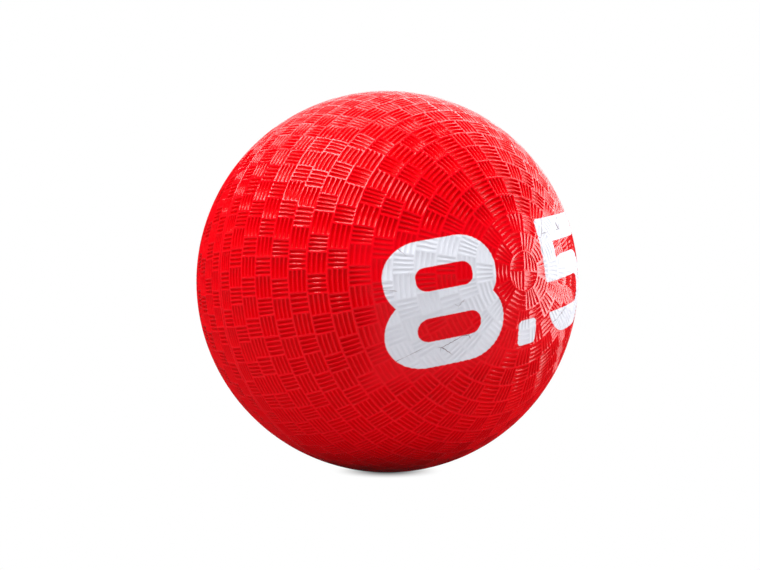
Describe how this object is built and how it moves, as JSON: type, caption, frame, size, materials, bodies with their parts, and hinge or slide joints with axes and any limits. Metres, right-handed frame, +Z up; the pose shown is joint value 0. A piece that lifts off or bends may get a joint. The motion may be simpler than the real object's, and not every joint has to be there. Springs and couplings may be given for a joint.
{
  "type": "playground ball",
  "caption": "Inflated rubber playground ball with a basket-weave moulded cover in two halves, a thread-wound bladder and a self-sealing needle valve.",
  "frame": {"origin": "the ball's centre", "axes": "+Y along the moulding's pole axis, out through the valve; the parting plane of the two half covers is XZ; +Z up, -Y through the pole of the front half"},
  "size_m": [0.216, 0.2154, 0.216],
  "materials": {
    "cover_front_half": "semi-gloss moulded red rubber with a basket-weave relief",
    "cover_rear_half": "semi-gloss moulded red rubber with a basket-weave relief",
    "thread_winding": "wound nylon thread set in rubber cement",
    "bladder": "smooth black butyl rubber",
    "valve_patch": "buffed black rubber sheet",
    "valve_housing": "moulded black rubber",
    "valve_plug": "soft moulded dark grey rubber"
  },
  "bodies": {
    "root": {"cover_front_half": "cover_front_half", "cover_rear_half": "cover_rear_half", "thread_winding": "thread_winding", "bladder": "bladder", "valve_patch": "valve_patch", "valve_housing": "valve_housing", "valve_plug": "valve_plug"}
  },
  "joints": []
}
